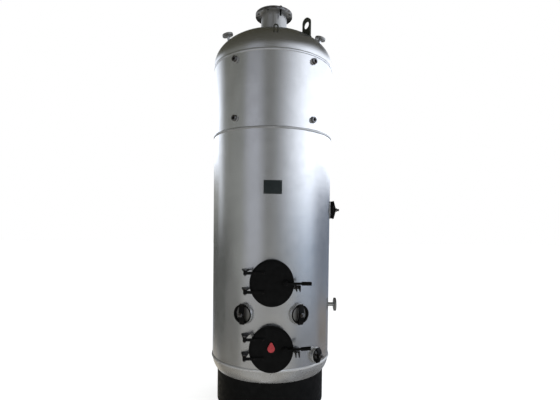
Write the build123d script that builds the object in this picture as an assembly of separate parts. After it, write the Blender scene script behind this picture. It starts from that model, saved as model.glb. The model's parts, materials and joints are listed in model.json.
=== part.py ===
from build123d import *
import math
import os

# Upright hand-fired boiler: a round shell with a domed head, a furnace inside a water jacket, a fire door
# above the grate and an ash door below it. Millimetres, +Z up. The origin is on the ground under the
# shell's axis, and the doors face -Y. Azimuths are in degrees from the front, positive to the right.

# Shell, base and head
shell_radius = 500
shell_wall = 10
base_inset = 44
base_wall = 12
knuckle_height = 111
knuckle_wall = 12
upper_course_height = 579
head_straight = 31
head_rise = 280
head_wall = 10
front_plate_arc = 120
upper_plate_arc = 180
quarter_turn = 90

# Furnace, grate and ash floor
water_space = 70
furnace_wall = 10
furnace_top_height = 1662
crown_thickness = 14
grate_drop = 85
grate_depth = 24
grate_rim_width = 30
grate_bar_width = 16
grate_bar_pitch = 34
ash_floor_drop = 48
ash_floor_thickness = 12

# Flue neck and its flange
flue_radius = 109.5
flue_wall = 8
flue_flange_radius = 157.5
flue_flange_thickness = 22
flue_top_height = 3287
flue_neck_length = 188
flue_bolt_circle_radius = 140
flue_bolt_hole_radius = 9
flue_bolt_count = 8

# Small flanged nozzles: two on the head and a larger one on the side
head_nozzle_radius = 13.45
head_nozzle_wall = 2.65
head_nozzle_flange_radius = 45
head_nozzle_flange_thickness = 14
head_nozzle_bolt_circle_radius = 32.5
head_nozzle_bolt_hole_radius = 5.5
head_nozzle_inset = 113
head_nozzle_length = 64
head_nozzle_lean = 15
head_nozzle_azimuths = {"left": -73, "right": 76.5}
side_nozzle_radius = 16.85
side_nozzle_wall = 3.25
side_nozzle_flange_radius = 57.5
side_nozzle_flange_thickness = 16
side_nozzle_bolt_circle_radius = 42.5
side_nozzle_bolt_hole_radius = 7
side_nozzle_height = 788
side_nozzle_azimuth = 90
side_nozzle_length = 70
nozzle_bolt_count = 4
nozzle_root_depth = 22

# Lifting lugs and lifting eye on the head
lug_inset = 115
lug_width = 80
lug_thickness = 16
lug_hole_radius = 29
lug_hole_rise = 67
lug_top_rise = 86
lug_azimuths = (42, 222)
eye_inset = 40
eye_azimuth = 1.4
eye_bar_radius = 5
eye_half_width = 15
eye_height = 58

# Gauge sockets
socket_radius = 22
socket_bore_radius = 12
socket_reach = 22
socket_root_depth = 24
socket_head_gap = 50
socket_girth_gap = 82
socket_azimuths = {"left": -36, "right": 37.4}

# Label plate, bare
label_width = 138
label_height = 102
label_thickness = 3
label_centre_height = 1761
label_stand_off = 3
label_foot_width = 14
label_foot_inset = 8

# Handholes
handhole_ring_radius = 75
low_handhole_ring_radius = 57
handhole_ring_wall = 14
handhole_rim_reach = 32
handhole_root_depth = 22
handhole_cover_thickness = 14
handhole_cover_recess = 18
yoke_width = 40
yoke_overhang = 3
yoke_foot_length = 18
yoke_foot_height = 7
yoke_hub_half_length = 18
yoke_hub_reach = 56
yoke_hub_depth = 14
stud_radius = 10
stud_reach = 88
stud_nut_half_width = 15
stud_nut_height = 14
front_handhole_azimuth = 24.4
front_handhole_rise = 4
low_handhole_azimuth = 43.7
low_handhole_rise = 86
side_handhole_azimuth = 90
side_handhole_drop = 46

# Doors and their mouths
upper_door_height = 1045
door_overlap = 15
door_stand_off = 32
door_thickness = 12
door_panel_margin = 16
door_panel_rise = 5
door_edge_round = 3
mouth_half_width = 139
mouth_half_height = 150
mouth_wall = 12
mouth_door_gap = 5
mouth_spacing = 170
mouth_foot_gap = 16
lining_gap = 10
lining_thickness = 8
lining_stand_off = 18
lining_stud_radius = 12
lining_stud_circle_share = 0.62

# Hinges
hinge_door_gap = 31
hinge_pin_radius = 8
hinge_pin_head_radius = 12
hinge_pin_head_height = 5
hinge_pin_tip_length = 5
hinge_offsets = (76, -66)
strap_height = 22
strap_thickness = 10
strap_length = 136
strap_eye_radius = 14
bracket_thickness = 10
bracket_root_width = 60

# Latches
latch_pivot_inset = 65
latch_rise = 3
latch_hub_radius = 20
latch_bar_radius = 9
latch_grip_radius = 14.5
latch_grip_round = 4
latch_grip_gap = 10
latch_grip_length = 75
latch_door_gap = 8
latch_bolt_radius = 8
latch_bolt_head_radius = 14
latch_bolt_head_height = 7
latch_tilts = {"upper": 0, "lower": 4.5}
keeper_door_gap = 18
keeper_cheek_pitch = 25
keeper_cheek_width = 8
keeper_saddle_thickness = 8
keeper_depth = 44
keeper_front_margin = 4
keeper_latch_gap = 5

# Sight-hole cover on the lower door
sight_hole_radius = 15
cover_round_radius = 27
cover_round_rise = 9
cover_top_radius = 9
cover_top_rise = 49
cover_thickness = 6
cover_door_gap = 5
cover_bolt_radius = 4
cover_bolt_head_radius = 8
cover_bolt_head_height = 4

# Fits: welded seats, end play at pivots, radial clearance round pins, and how far cuts overrun
seat_gap = 0.2
running_gap = 0.25
pin_clearance = 0.1
overrun = 20

# Places worked out from the driving dimensions
base_radius = shell_radius - base_inset
furnace_radius = shell_radius - water_space
furnace_inner_radius = furnace_radius - furnace_wall
head_nozzle_axis_radius = shell_radius - head_nozzle_inset
lug_radius = shell_radius - lug_inset
eye_radius = shell_radius - eye_inset
head_top_height = flue_top_height - flue_neck_length
head_tangent_height = head_top_height - head_rise
head_seam_height = head_tangent_height - head_straight
girth_seam_height = head_seam_height - upper_course_height
mouth_outer_half_width = mouth_half_width + mouth_wall
mouth_outer_half_height = mouth_half_height + mouth_wall
lower_door_height = upper_door_height - 2 * mouth_outer_half_height - mouth_spacing
shell_foot_height = lower_door_height - mouth_outer_half_height - mouth_foot_gap
base_height = shell_foot_height - knuckle_height
grate_top_height = upper_door_height - mouth_outer_half_height - grate_drop
ash_floor_height = lower_door_height - mouth_half_height - ash_floor_drop
socket_heights = (head_seam_height - socket_head_gap, girth_seam_height + socket_girth_gap)
front_handhole_height = (upper_door_height + lower_door_height) / 2 + front_handhole_rise
low_handhole_height = shell_foot_height + low_handhole_rise
side_handhole_height = furnace_top_height - side_handhole_drop
handhole_places = ((-front_handhole_azimuth, front_handhole_height, handhole_ring_radius),
                   (front_handhole_azimuth, front_handhole_height, handhole_ring_radius),
                   (low_handhole_azimuth, low_handhole_height, low_handhole_ring_radius),
                   (side_handhole_azimuth, side_handhole_height, handhole_ring_radius),
                   (low_handhole_azimuth + 2 * quarter_turn, low_handhole_height, low_handhole_ring_radius))
door_half_width = mouth_outer_half_width + door_overlap
door_half_height = mouth_outer_half_height + door_overlap
door_back_reach = shell_radius + door_stand_off
mouth_reach = door_back_reach - mouth_door_gap
door_panel_reach = door_back_reach + door_thickness + door_panel_rise
hinge_pin_reach = door_panel_reach + strap_thickness / 2
hinge_pin_x = -door_half_width - hinge_door_gap
strap_end_x = hinge_pin_x + strap_length
latch_reach = door_panel_reach + latch_door_gap + latch_bar_radius
latch_pivot_x = door_half_width - latch_pivot_inset
keeper_left_x = door_half_width + keeper_door_gap
keeper_right_x = keeper_left_x + keeper_cheek_pitch
latch_grip_start_x = keeper_right_x + latch_grip_gap
latch_end_x = latch_grip_start_x + latch_grip_length
STANDING = (Align.CENTER, Align.CENTER, Align.MIN)


def sector(inner_radius, outer_radius, low, high, start_azimuth, arc):
    """A ring wall about the shell's axis, from one azimuth round to another."""
    corners = [(inner_radius, low), (outer_radius, low), (outer_radius, high), (inner_radius, high)]
    profile = Plane.XZ * make_face(Polyline(corners, close=True))
    return Rot(0, 0, start_azimuth - quarter_turn) * revolve(profile, Axis.Z, arc)


def disc(radius, low, high):
    return Pos(0, 0, low) * Cylinder(radius, high - low, align=STANDING)


def oval_bar(half_width, half_height, height, back_reach, front_reach):
    """An oval bar along Y, between two distances in front of the shell's axis."""
    oval = Plane.XZ * Ellipse(half_width, half_height)
    return Pos(0, -back_reach, height) * extrude(oval, front_reach - back_reach)


def bolt(radius, x, height, back_reach, front_reach):
    """A round bar along Y, between two distances in front of the shell's axis."""
    return Pos(x, -back_reach, height) * extrude(Plane.XZ * Circle(radius), front_reach - back_reach)


def radial_frame(azimuth, height):
    """A frame on the shell's axis whose Z points outwards and whose Y points up."""
    turn = math.radians(azimuth)
    outwards = (math.sin(turn), -math.cos(turn), 0)
    sideways = (math.cos(turn), math.sin(turn), 0)
    return Plane(origin=(0, 0, height), x_dir=sideways, z_dir=outwards)


def head_point(azimuth, radius):
    """A point on the head's outside, at a distance from the axis."""
    turn = math.radians(azimuth)
    rise = head_rise * math.sqrt(1 - (radius / shell_radius) ** 2)
    return Vector(radius * math.sin(turn), -radius * math.cos(turn), head_tangent_height + rise)


def bolted_ring(outer_radius, bore_radius, thickness, circle_radius, hole_radius, hole_count):
    """A flat ring that stands on its frame's XY plane, with bolt holes evenly round it."""
    ring = Cylinder(outer_radius, thickness, align=STANDING)
    ring -= Cylinder(bore_radius, thickness, align=STANDING)
    for hole in PolarLocations(circle_radius, hole_count, 180 / hole_count):
        ring -= hole * Cylinder(hole_radius, thickness, align=STANDING)
    return ring


def head_envelope(growth):
    """The solid inside the head's outer surface, grown by a small seat."""
    radius = shell_radius + growth
    rise = head_rise + growth
    arc = EllipticalCenterArc((0, head_tangent_height), radius, rise, start_angle=0,
                              arc_size=quarter_turn)
    sides = Polyline((0, head_tangent_height + rise), (0, head_seam_height), (radius, head_seam_height),
                     (radius, head_tangent_height))
    return revolve(Plane.XZ * make_face([arc, *sides.edges()]), Axis.Z)


# Base and bottom knuckle

def base_skirt():
    return sector(base_radius - base_wall, base_radius, 0, base_height, 0, 360)


def bottom_knuckle():
    """The flanged ring that turns in from the shell to the base and closes the water space."""
    inset = shell_radius - base_radius
    bend = (inset ** 2 + knuckle_height ** 2) / (2 * inset)
    centre = (shell_radius - bend, shell_foot_height)
    outer_turn = math.asin(knuckle_height / bend)
    inner_bend = bend - knuckle_wall
    inner_turn = math.asin((knuckle_height - knuckle_wall) / inner_bend)

    def on_bend(radius, turn):
        return (centre[0] + radius * math.cos(turn), centre[1] - radius * math.sin(turn))

    outer = ThreePointArc(on_bend(bend, 0), on_bend(bend, outer_turn / 2), on_bend(bend, outer_turn))
    inner = ThreePointArc(on_bend(inner_bend, inner_turn), on_bend(inner_bend, inner_turn / 2),
                          on_bend(inner_bend, 0))
    lip_radius = furnace_radius + seat_gap
    lip = Polyline(on_bend(bend, outer_turn), (lip_radius, base_height),
                   (lip_radius, base_height + knuckle_wall), on_bend(inner_bend, inner_turn))
    top = Line(on_bend(inner_bend, 0), on_bend(bend, 0))
    return revolve(Plane.XZ * make_face([outer, *lip.edges(), inner, top]), Axis.Z)


# Shell plates and head

def mouth_cut(height):
    """The hole that a door's mouth ring passes through."""
    width = mouth_outer_half_width + seat_gap
    rise = mouth_outer_half_height + seat_gap
    return oval_bar(width, rise, height, 0, shell_radius + overrun)


def radial_cut(azimuth, height, radius):
    """The hole in the shell that a round piece passes through."""
    bar = Cylinder(radius + seat_gap, shell_radius - furnace_radius + overrun, align=STANDING)
    return radial_frame(azimuth, height) * (Pos(0, 0, furnace_radius) * bar)


def shell_plate(low, high, start_azimuth, arc):
    """A rolled plate of the shell, with every hole that falls within it."""
    plate = sector(shell_radius - shell_wall, shell_radius, low, high, start_azimuth, arc)
    plate -= mouth_cut(upper_door_height)
    plate -= mouth_cut(lower_door_height)
    for azimuth, height, radius in handhole_places:
        plate -= radial_cut(azimuth, height, radius)
    for azimuth in socket_azimuths.values():
        for height in socket_heights:
            plate -= radial_cut(azimuth, height, socket_radius)
    return plate - radial_cut(side_nozzle_azimuth, side_nozzle_height, side_nozzle_radius)


def lower_shell_plate(start_azimuth, arc):
    return shell_plate(shell_foot_height, girth_seam_height, start_azimuth, arc)


def upper_shell_plate(start_azimuth):
    return shell_plate(girth_seam_height, head_seam_height, start_azimuth, upper_plate_arc)


def dome_head():
    head = head_envelope(0) - head_envelope(-head_wall)
    head -= disc(shell_radius - shell_wall, head_seam_height - overrun, head_tangent_height)
    head -= disc(flue_radius + seat_gap, head_tangent_height, flue_top_height)
    for azimuth in head_nozzle_azimuths.values():
        bar = Cylinder(head_nozzle_radius + seat_gap, 2 * (nozzle_root_depth + overrun))
        head -= head_nozzle_frame(azimuth) * bar
    return head


# Furnace, grate and flue

def furnace_segment(start_azimuth):
    wall = sector(furnace_inner_radius, furnace_radius, base_height, furnace_top_height,
                  start_azimuth, front_plate_arc)
    return wall - mouth_cut(upper_door_height) - mouth_cut(lower_door_height)


def furnace_crown():
    plate = disc(furnace_radius, furnace_top_height, furnace_top_height + crown_thickness)
    return plate - disc(flue_radius + seat_gap, furnace_top_height, furnace_top_height + crown_thickness)


def flue_tube():
    return sector(flue_radius - flue_wall, flue_radius, furnace_top_height, flue_top_height, 0, 360)


def flue_flange():
    ring = bolted_ring(flue_flange_radius, flue_radius + seat_gap, flue_flange_thickness,
                       flue_bolt_circle_radius, flue_bolt_hole_radius, flue_bolt_count)
    return Pos(0, 0, flue_top_height - flue_flange_thickness) * ring


def fire_grate():
    """Parallel bars cast into one rim, loose inside the furnace wall."""
    rim_radius = furnace_inner_radius - seat_gap
    low = grate_top_height - grate_depth
    grate = sector(rim_radius - grate_rim_width, rim_radius, low, grate_top_height, 0, 360)
    bar_count = 2 * math.floor((rim_radius - grate_rim_width) / grate_bar_pitch) + 1
    bars = Box(grate_bar_width, 2 * rim_radius, grate_depth, align=STANDING)
    for place in GridLocations(grate_bar_pitch, 0, bar_count, 1):
        grate += (Pos(0, 0, low) * place * bars) & disc(rim_radius, low, grate_top_height)
    return grate


def ash_floor():
    return disc(furnace_inner_radius - seat_gap, ash_floor_height - ash_floor_thickness, ash_floor_height)


# Fittings on the head and shell

def nozzle_pipe(radius, wall, length):
    """A pipe along its frame's Z, with a root that passes through the wall it stands on."""
    tube = Cylinder(radius, length + nozzle_root_depth, align=STANDING)
    tube -= Cylinder(radius - wall, length + nozzle_root_depth, align=STANDING)
    return Pos(0, 0, -nozzle_root_depth) * tube


def head_nozzle_frame(azimuth):
    """A frame on the head's outside whose Z leans outwards from upright."""
    turn = math.radians(azimuth)
    lean = math.radians(head_nozzle_lean)
    axis = (math.sin(turn) * math.sin(lean), -math.cos(turn) * math.sin(lean), math.cos(lean))
    sideways = (math.cos(turn), math.sin(turn), 0)
    return Plane(origin=head_point(azimuth, head_nozzle_axis_radius), x_dir=sideways, z_dir=axis)


def head_nozzle_pipe(azimuth):
    return head_nozzle_frame(azimuth) * nozzle_pipe(head_nozzle_radius, head_nozzle_wall, head_nozzle_length)


def head_nozzle_flange(azimuth):
    ring = bolted_ring(head_nozzle_flange_radius, head_nozzle_radius + seat_gap, head_nozzle_flange_thickness,
                       head_nozzle_bolt_circle_radius, head_nozzle_bolt_hole_radius, nozzle_bolt_count)
    return head_nozzle_frame(azimuth) * (Pos(0, 0, head_nozzle_length - head_nozzle_flange_thickness) * ring)


def side_nozzle_frame():
    return radial_frame(side_nozzle_azimuth, side_nozzle_height).offset(shell_radius)


def side_nozzle_pipe():
    return side_nozzle_frame() * nozzle_pipe(side_nozzle_radius, side_nozzle_wall, side_nozzle_length)


def side_nozzle_flange():
    ring = bolted_ring(side_nozzle_flange_radius, side_nozzle_radius + seat_gap, side_nozzle_flange_thickness,
                       side_nozzle_bolt_circle_radius, side_nozzle_bolt_hole_radius, nozzle_bolt_count)
    return side_nozzle_frame() * (Pos(0, 0, side_nozzle_length - side_nozzle_flange_thickness) * ring)


def lifting_lug(azimuth):
    """A radial plate with a round top and a hole, cut to the head's curve."""
    root = head_point(azimuth, lug_radius)
    frame = Plane(origin=(0, 0, root.Z), x_dir=(root.X, root.Y, 0), z_dir=(root.Y, -root.X, 0))
    outline = Pos(lug_radius, lug_top_rise) * Circle(lug_width / 2)
    outline += Pos(lug_radius, 0) * Rectangle(lug_width, 2 * lug_top_rise)
    outline -= Pos(lug_radius, lug_hole_rise) * Circle(lug_hole_radius)
    return frame * extrude(outline, lug_thickness / 2, both=True) - head_envelope(seat_gap)


def lifting_eye():
    """A round bar bent into an upside-down U, cut to the head's curve."""
    root = head_point(eye_azimuth, eye_radius)
    top = eye_height - eye_half_width - eye_bar_radius
    start = -eye_height
    legs = [Line((-eye_half_width, start), (-eye_half_width, top)),
            ThreePointArc((-eye_half_width, top), (0, top + eye_half_width), (eye_half_width, top)),
            Line((eye_half_width, top), (eye_half_width, start))]
    path = Plane.XZ * Wire(legs)
    section = Plane(origin=path @ 0, z_dir=path % 0) * Circle(eye_bar_radius)
    eye = Pos(root.X, root.Y, root.Z) * Rot(0, 0, eye_azimuth) * sweep(section, path)
    return eye - head_envelope(seat_gap)


def gauge_socket(azimuth, height):
    length = socket_root_depth + socket_reach
    socket = Cylinder(socket_radius, length, align=STANDING)
    socket -= Cylinder(socket_bore_radius, length, align=STANDING)
    return radial_frame(azimuth, height) * (Pos(0, 0, shell_radius - socket_root_depth) * socket)


def label_plate():
    back = shell_radius + label_stand_off
    plate = Box(label_width, label_thickness, label_height)
    return Pos(0, -back - label_thickness / 2, label_centre_height) * plate


def label_feet():
    """Two upright strips that carry the label plate off the round shell."""
    place = label_width / 2 - label_foot_inset - label_foot_width / 2
    depth = shell_wall + label_stand_off
    strip = Box(label_foot_width, depth, label_height)
    y_centre = -shell_radius - label_stand_off + depth / 2
    trim = disc(shell_radius + seat_gap, 0, head_seam_height)
    return [Pos(side * place, y_centre, label_centre_height) * strip - trim for side in (-1, 1)]


# Handholes, in a frame whose Z runs outwards from the shell's axis

def handhole_ring(frame, radius):
    root = shell_radius - handhole_root_depth
    length = handhole_root_depth + handhole_rim_reach
    ring = Cylinder(radius, length, align=STANDING)
    ring -= Cylinder(radius - handhole_ring_wall, length, align=STANDING)
    return frame * (Pos(0, 0, root) * ring)


def handhole_cover_face():
    return shell_radius + handhole_rim_reach - handhole_cover_recess


def handhole_cover(frame, radius):
    cover = Cylinder(radius - handhole_ring_wall - seat_gap, handhole_cover_thickness, align=STANDING)
    return frame * (Pos(0, 0, handhole_cover_face() - handhole_cover_thickness) * cover)


def handhole_yoke(frame, radius):
    """The bridge bar that stands on the rim and holds the cover by its stud."""
    rim = shell_radius + handhole_rim_reach
    hub = shell_radius + yoke_hub_reach
    end = radius + yoke_overhang
    half = [(yoke_hub_half_length, hub), (end, rim + yoke_foot_height), (end, rim),
            (end - yoke_foot_length, rim), (yoke_hub_half_length, hub - yoke_hub_depth)]
    mirrored = [(-along, reach) for along, reach in reversed(half)]
    profile = Plane.YZ * make_face(Polyline(half + mirrored, close=True))
    yoke = extrude(profile, yoke_width / 2, both=True)
    return frame * (yoke - Pos(0, 0, rim) * Cylinder(stud_radius + running_gap, hub, align=STANDING))


def handhole_stud(frame):
    """The stud that pulls the cover up to the yoke, with its nut."""
    face = handhole_cover_face()
    tip = shell_radius + stud_reach
    stud = Pos(0, 0, face) * Cylinder(stud_radius, tip - face, align=STANDING)
    nut = extrude(RegularPolygon(stud_nut_half_width, 6, major_radius=False), stud_nut_height)
    return frame * (stud + Pos(0, 0, shell_radius + yoke_hub_reach) * nut)


# Doors

def mouth_ring(height):
    """The oval tube from the furnace to the door, through the water space."""
    outer = oval_bar(mouth_outer_half_width, mouth_outer_half_height, height, 0, mouth_reach)
    inner = oval_bar(mouth_half_width, mouth_half_height, height, 0, mouth_reach)
    return outer - inner - disc(furnace_inner_radius, 0, furnace_top_height)


def door_plate(height):
    plate = oval_bar(door_half_width, door_half_height, height,
                     door_back_reach, door_back_reach + door_thickness)
    panel = oval_bar(door_half_width - door_panel_margin, door_half_height - door_panel_margin, height,
                     door_back_reach + door_thickness, door_panel_reach)
    front_edge = plate.edges().sort_by(Axis.Y)[0]
    return fillet(front_edge, door_edge_round) + panel


def door_lining(height):
    """The heat shield behind the door, on three short studs."""
    width = mouth_half_width - lining_gap
    rise = mouth_half_height - lining_gap
    front = door_back_reach - lining_stand_off
    lining = oval_bar(width, rise, height, front - lining_thickness, front)
    for turn in (90, 210, 330):
        x = width * lining_stud_circle_share * math.cos(math.radians(turn))
        z = rise * lining_stud_circle_share * math.sin(math.radians(turn))
        lining += bolt(lining_stud_radius, x, height + z, front - lining_thickness, door_back_reach)
    return lining


def door_strap(height):
    """A flat strap on the door's face with an eye round the hinge pin."""
    middle_x = hinge_pin_x + strap_length / 2
    outline = Plane.XZ * (Pos(middle_x, 0) * Rectangle(strap_length, strap_height))
    outline += Plane.XZ * (Pos(strap_end_x, 0) * Circle(strap_height / 2))
    strap = Pos(0, -door_panel_reach, 0) * extrude(outline, strap_thickness)
    place = Pos(hinge_pin_x, -hinge_pin_reach, 0)
    strap += place * Cylinder(strap_eye_radius, strap_height)
    strap -= place * Cylinder(hinge_pin_radius + pin_clearance, strap_height)
    return Pos(0, 0, height) * strap


def hinge_bracket(height):
    """A flat arm that widens from an eye above the strap's eye to its root on the shell."""
    run = hinge_pin_reach - math.sqrt(shell_radius ** 2 - hinge_pin_x ** 2)
    root = bracket_root_width / 2
    corners = [(-strap_eye_radius, 0), (strap_eye_radius, 0), (root, run), (root, run + root),
               (-root, run + root), (-root, run)]
    arm = extrude(make_face(Polyline(corners, close=True)), bracket_thickness)
    arm += Cylinder(strap_eye_radius, bracket_thickness, align=STANDING)
    arm -= Cylinder(hinge_pin_radius + pin_clearance, bracket_thickness, align=STANDING)
    low = height + strap_height / 2 + running_gap
    return Pos(hinge_pin_x, -hinge_pin_reach, low) * arm - disc(shell_radius + seat_gap, 0, head_seam_height)


def hinge_pin(height):
    """A headed pin that hangs in the bracket and carries the strap on a collar."""
    top = height + strap_height / 2 + running_gap + bracket_thickness
    collar_top = height - strap_height / 2 - running_gap
    tip = collar_top - hinge_pin_head_height - hinge_pin_tip_length
    pin = disc(hinge_pin_radius, tip, top)
    pin += disc(hinge_pin_head_radius, top, top + hinge_pin_head_height)
    pin += disc(hinge_pin_head_radius, collar_top - hinge_pin_head_height, collar_top)
    return Pos(hinge_pin_x, -hinge_pin_reach, 0) * pin


def latch_lever(height, tilt):
    """A hub, a round bar and a thicker grip, turned about the pivot by its resting tilt."""
    bar_length = latch_end_x - latch_pivot_x - latch_grip_round
    along = Rot(0, quarter_turn, 0)
    grip = Cylinder(latch_grip_radius, latch_grip_length, align=STANDING)
    grip = fillet(grip.edges(), latch_grip_round)
    lever = Rot(quarter_turn, 0, 0) * Cylinder(latch_hub_radius, 2 * latch_bar_radius)
    lever += along * Cylinder(latch_bar_radius, bar_length, align=STANDING)
    lever += Pos(latch_grip_start_x - latch_pivot_x, 0, 0) * along * grip
    lever -= Rot(quarter_turn, 0, 0) * Cylinder(latch_bolt_radius + pin_clearance, 2 * latch_bar_radius)
    return Pos(latch_pivot_x, -latch_reach, height) * Rot(0, -tilt, 0) * lever


def latch_bolt(height):
    """The pivot bolt: a shoulder on the door, a shank through the hub and a head."""
    hub_back = latch_reach - latch_bar_radius - running_gap
    hub_front = latch_reach + latch_bar_radius + running_gap
    parts = bolt(latch_bolt_head_radius, latch_pivot_x, height, door_panel_reach, hub_back)
    parts += bolt(latch_bolt_radius, latch_pivot_x, height, hub_back, hub_front)
    head_front = hub_front + latch_bolt_head_height
    return parts + bolt(latch_bolt_head_radius, latch_pivot_x, height, hub_front, head_front)


def latch_keeper(height, tilt):
    """An upside-down channel from the shell that the lever lies above."""
    lever_rise = (keeper_left_x - latch_pivot_x) * math.tan(math.radians(tilt))
    top = height + lever_rise - latch_bar_radius / math.cos(math.radians(tilt)) - keeper_latch_gap
    front = latch_reach + latch_bar_radius + keeper_front_margin
    width = keeper_right_x - keeper_left_x + keeper_cheek_width
    hanging = (Align.CENTER, Align.MIN, Align.MAX)
    middle = (keeper_left_x + keeper_right_x) / 2
    keeper = Pos(middle, -front, top) * Box(width, shell_radius, keeper_saddle_thickness, align=hanging)
    for x in (keeper_left_x, keeper_right_x):
        keeper += Pos(x, -front, top) * Box(keeper_cheek_width, shell_radius, keeper_depth, align=hanging)
    return keeper - disc(shell_radius + seat_gap, 0, head_seam_height)


# Sight hole and its cover on the lower door

def sight_hole():
    return bolt(sight_hole_radius, 0, lower_door_height + cover_round_rise, 0, door_panel_reach)


def sight_cover():
    """A pear-shaped flap that hangs over the sight hole."""
    back = door_panel_reach + cover_door_gap
    round_part = Pos(0, cover_round_rise) * Circle(cover_round_radius)
    top_part = Pos(0, cover_top_rise) * Circle(cover_top_radius)
    outline = make_hull(round_part.edges() + top_part.edges())
    outline -= Pos(0, cover_top_rise) * Circle(cover_bolt_radius + pin_clearance)
    return Pos(0, -back, lower_door_height) * extrude(Plane.XZ * outline, cover_thickness)


def sight_cover_bolt():
    height = lower_door_height + cover_top_rise
    back = door_panel_reach + cover_door_gap - running_gap
    front = back + cover_thickness + 2 * running_gap
    parts = bolt(cover_bolt_head_radius, 0, height, door_panel_reach, back)
    parts += bolt(cover_bolt_radius, 0, height, back, front)
    return parts + bolt(cover_bolt_head_radius, 0, height, front, front + cover_bolt_head_height)


def build_nodes():
    """Every node's solids, by the node's name."""
    side_arc = (360 - front_plate_arc) / 2
    front_start = -front_plate_arc / 2
    right_start = front_plate_arc / 2
    left_start = right_start + side_arc
    nodes = {
        "base_skirt": [base_skirt()],
        "bottom_knuckle": [bottom_knuckle()],
        "lower_shell_front": [lower_shell_plate(front_start, front_plate_arc)],
        "lower_shell_right": [lower_shell_plate(right_start, side_arc)],
        "lower_shell_left": [lower_shell_plate(left_start, side_arc)],
        "upper_shell_front": [upper_shell_plate(-upper_plate_arc / 2)],
        "upper_shell_rear": [upper_shell_plate(upper_plate_arc / 2)],
        "dome_head": [dome_head()],
        "furnace_wall_front": [furnace_segment(front_start)],
        "furnace_wall_right": [furnace_segment(right_start)],
        "furnace_wall_left": [furnace_segment(left_start)],
        "furnace_crown": [furnace_crown()],
        "flue_tube": [flue_tube()],
        "flue_flange": [flue_flange()],
        "fire_grate": [fire_grate()],
        "ash_floor": [ash_floor()],
        "lifting_lugs": [lifting_lug(azimuth) for azimuth in lug_azimuths],
        "lifting_eye": [lifting_eye()],
        "side_nozzle_pipe": [side_nozzle_pipe()],
        "side_nozzle_flange": [side_nozzle_flange()],
        "label_plate": [label_plate()],
        "label_feet": label_feet(),
        "sight_cover": [sight_cover()],
        "sight_cover_bolt": [sight_cover_bolt()],
    }
    nodes["gauge_sockets"] = [gauge_socket(azimuth, height)
                              for azimuth in socket_azimuths.values() for height in socket_heights]
    for side, azimuth in head_nozzle_azimuths.items():
        nodes[f"{side}_head_nozzle_pipe"] = [head_nozzle_pipe(azimuth)]
        nodes[f"{side}_head_nozzle_flange"] = [head_nozzle_flange(azimuth)]
    handholes = [(radial_frame(azimuth, height), radius) for azimuth, height, radius in handhole_places]
    nodes["handhole_rings"] = [handhole_ring(frame, radius) for frame, radius in handholes]
    nodes["handhole_covers"] = [handhole_cover(frame, radius) for frame, radius in handholes]
    nodes["handhole_yokes"] = [handhole_yoke(frame, radius) for frame, radius in handholes]
    nodes["handhole_studs"] = [handhole_stud(frame) for frame, radius in handholes]
    for name, height in {"upper": upper_door_height, "lower": lower_door_height}.items():
        hinges = [height + offset for offset in hinge_offsets]
        latch_height = height + latch_rise
        plate = door_plate(height)
        lining = door_lining(height)
        if name == "lower":
            plate -= sight_hole()
            lining -= sight_hole()
        nodes[f"{name}_mouth_ring"] = [mouth_ring(height)]
        nodes[f"{name}_door"] = [plate]
        nodes[f"{name}_door_lining"] = [lining]
        nodes[f"{name}_door_straps"] = [door_strap(hinge) for hinge in hinges]
        nodes[f"{name}_hinge_brackets"] = [hinge_bracket(hinge) for hinge in hinges]
        nodes[f"{name}_hinge_pins"] = [hinge_pin(hinge) for hinge in hinges]
        nodes[f"{name}_latch_lever"] = [latch_lever(latch_height, latch_tilts[name])]
        nodes[f"{name}_latch_bolt"] = [latch_bolt(latch_height)]
        nodes[f"{name}_latch_keeper"] = [latch_keeper(latch_height, latch_tilts[name])]
    return nodes


os.makedirs("parts", exist_ok=True)
for node, pieces in build_nodes().items():
    solids = [solid for piece in pieces for solid in piece.solids()]
    export_step(Compound(children=solids), os.path.join("parts", node + ".step"))
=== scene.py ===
import json
import math
import random

import bmesh
import bpy
from mathutils import Matrix, Vector


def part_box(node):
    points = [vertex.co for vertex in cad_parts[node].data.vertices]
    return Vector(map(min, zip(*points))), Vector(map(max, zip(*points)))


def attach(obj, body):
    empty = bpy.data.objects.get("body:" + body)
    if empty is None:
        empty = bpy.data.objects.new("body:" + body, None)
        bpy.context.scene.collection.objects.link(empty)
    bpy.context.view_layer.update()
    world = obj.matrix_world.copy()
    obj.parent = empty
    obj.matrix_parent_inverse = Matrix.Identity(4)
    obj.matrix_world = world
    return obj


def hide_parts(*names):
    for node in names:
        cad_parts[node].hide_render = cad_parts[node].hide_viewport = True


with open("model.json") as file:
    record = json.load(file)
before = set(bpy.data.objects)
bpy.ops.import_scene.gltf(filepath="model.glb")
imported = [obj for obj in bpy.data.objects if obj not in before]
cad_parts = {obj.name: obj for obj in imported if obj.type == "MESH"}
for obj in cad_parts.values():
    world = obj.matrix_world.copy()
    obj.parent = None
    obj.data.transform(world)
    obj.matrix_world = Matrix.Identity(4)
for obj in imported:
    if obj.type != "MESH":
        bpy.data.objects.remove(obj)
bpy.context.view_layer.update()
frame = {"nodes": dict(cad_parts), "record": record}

# Metres and degrees. +Z is up, the doors face -Y, and azimuths run from the front to the right.

# Camera
CAMERA_PLACE = (-0.0385, -3.5003, 1.4694)
CAMERA_YAW = 1.841
CAMERA_PITCH = -1.324
CAMERA_ROLL = 0.667
CAMERA_LENS = 25.766
CAMERA_SENSOR = 36.0
CAMERA_SHIFT_Y = 0.06323

# The head's curve, which no box of a node gives
HEAD_RISE = 0.280
HEAD_STRAIGHT = 0.031

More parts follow.
